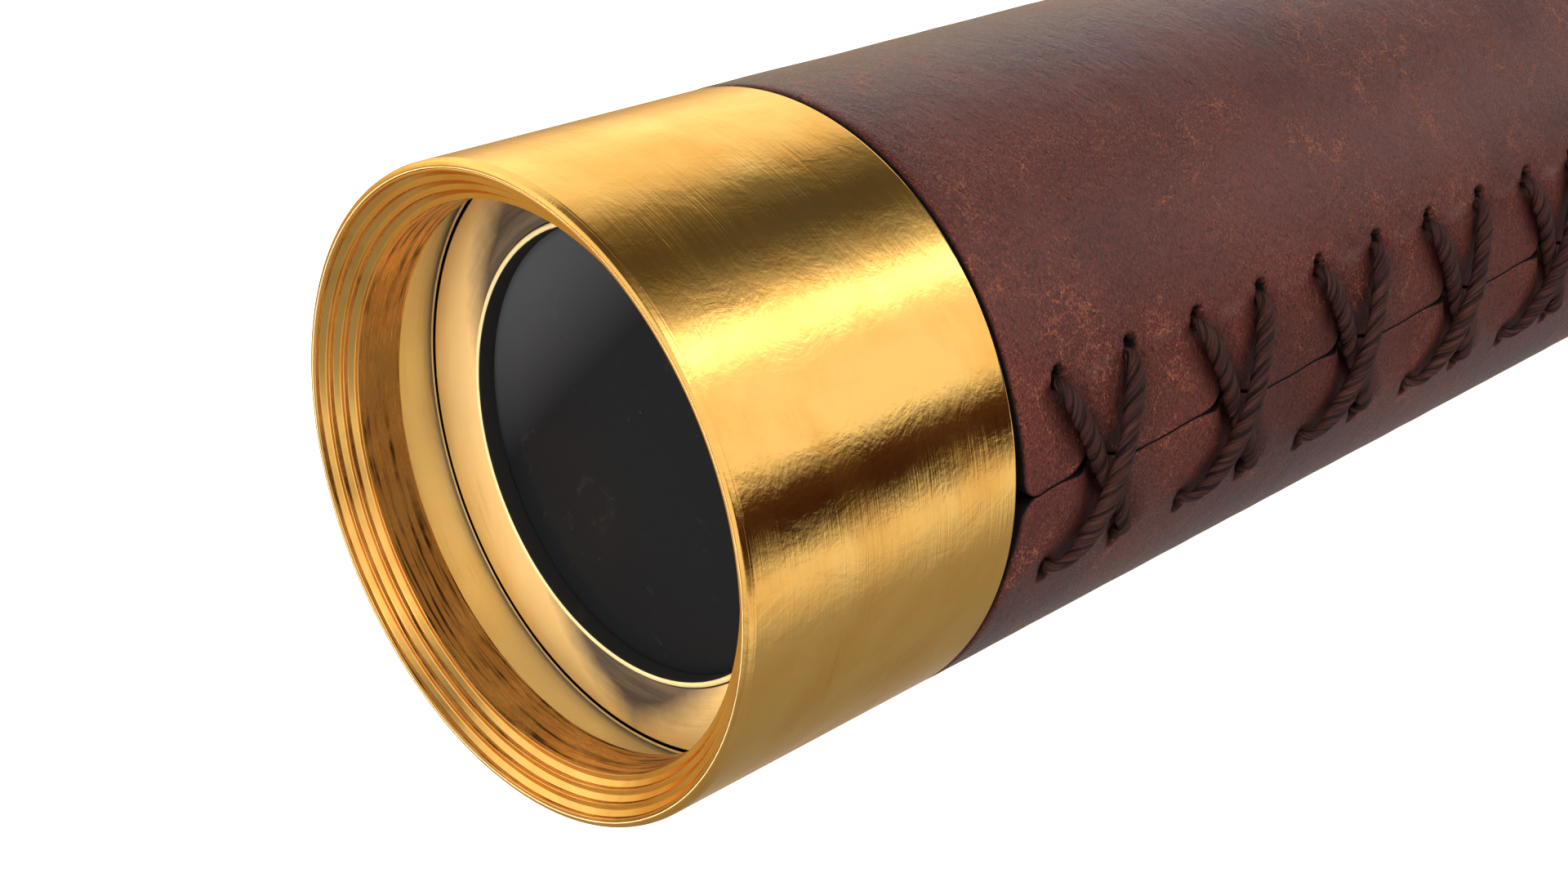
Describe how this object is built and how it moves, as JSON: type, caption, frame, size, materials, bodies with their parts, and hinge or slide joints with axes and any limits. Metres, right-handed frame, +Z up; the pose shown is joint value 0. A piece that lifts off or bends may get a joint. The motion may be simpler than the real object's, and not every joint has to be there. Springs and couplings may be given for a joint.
{
  "type": "hand telescope",
  "caption": "Hand telescope: a laced leather barrel with a stepped brass objective end, sliding brass draw tubes and an eyepiece with a swinging shutter.",
  "frame": {"origin": "on the optical axis at the front rim of the objective end", "axes": "+X along the optical axis from the objective to the eyepiece, +Z up, the laced seam towards -Y"},
  "size_m": [0.4478, 0.0638, 0.06],
  "materials": {
    "polished_brass": "polished, finely brushed round the axis, worn at the edges",
    "turned_brass": "satin, turned, with tarnish in the corners",
    "draw_brass": "polished, drawn lengthwise",
    "raw_brass": "dull, as drawn",
    "blackened_brass": "matt black",
    "lens_glass": "clear, polished",
    "brown_leather": "dark red-brown, grained, cracked and rubbed",
    "brown_lace": "dark brown twisted lace",
    "screw_steel": "dull"
  },
  "bodies": {
    "barrel": {"front_ferrule": "polished_brass", "front_bezel": "turned_brass", "cell_lock_ring": "turned_brass", "objective_cell": "turned_brass", "lens_ring": "polished_brass", "crown_lens": "lens_glass", "lens_spacer": "blackened_brass", "flint_lens": "lens_glass", "main_tube": "raw_brass", "leather_sleeve": "brown_leather", "seam_lace": "brown_lace", "rear_ferrule": "polished_brass", "barrel_guide": "raw_brass"},
    "draw_1": {"draw_tube_1": "draw_brass", "draw_stop_1": "raw_brass", "draw_collar_1": "polished_brass", "draw_guide_1": "raw_brass"},
    "draw_2": {"draw_tube_2": "draw_brass", "draw_stop_2": "raw_brass", "draw_collar_2": "polished_brass", "draw_guide_2": "raw_brass"},
    "draw_3": {"draw_tube_3": "draw_brass", "draw_stop_3": "raw_brass", "eyepiece_collar": "polished_brass", "erector_tube": "raw_brass", "erector_front_lens": "lens_glass", "erector_stop": "blackened_brass", "erector_rear_lens": "lens_glass", "eyepiece_tube": "raw_brass", "field_lens": "lens_glass", "field_stop": "blackened_brass", "eye_lens": "lens_glass", "eye_cap": "polished_brass", "shutter_screw": "screw_steel"},
    "shutter": {"shutter": "draw_brass"}
  },
  "joints": [
    {"name": "draw_1_slide", "type": "slide", "parent": "barrel", "child": "draw_1", "axis": [1, 0, 0], "range_m": [-0.05, 0.1]},
    {"name": "draw_2_slide", "type": "slide", "parent": "draw_1", "child": "draw_2", "axis": [1, 0, 0], "range_m": [-0.05, 0.1]},
    {"name": "draw_3_slide", "type": "slide", "parent": "draw_2", "child": "draw_3", "axis": [1, 0, 0], "range_m": [-0.05, 0.1]},
    {"name": "shutter_pivot", "type": "hinge", "parent": "draw_3", "child": "shutter", "pos_m": [0.44585, 0.0085, 0], "axis": [1, 0, 0], "range_deg": [0, 78]}
  ]
}
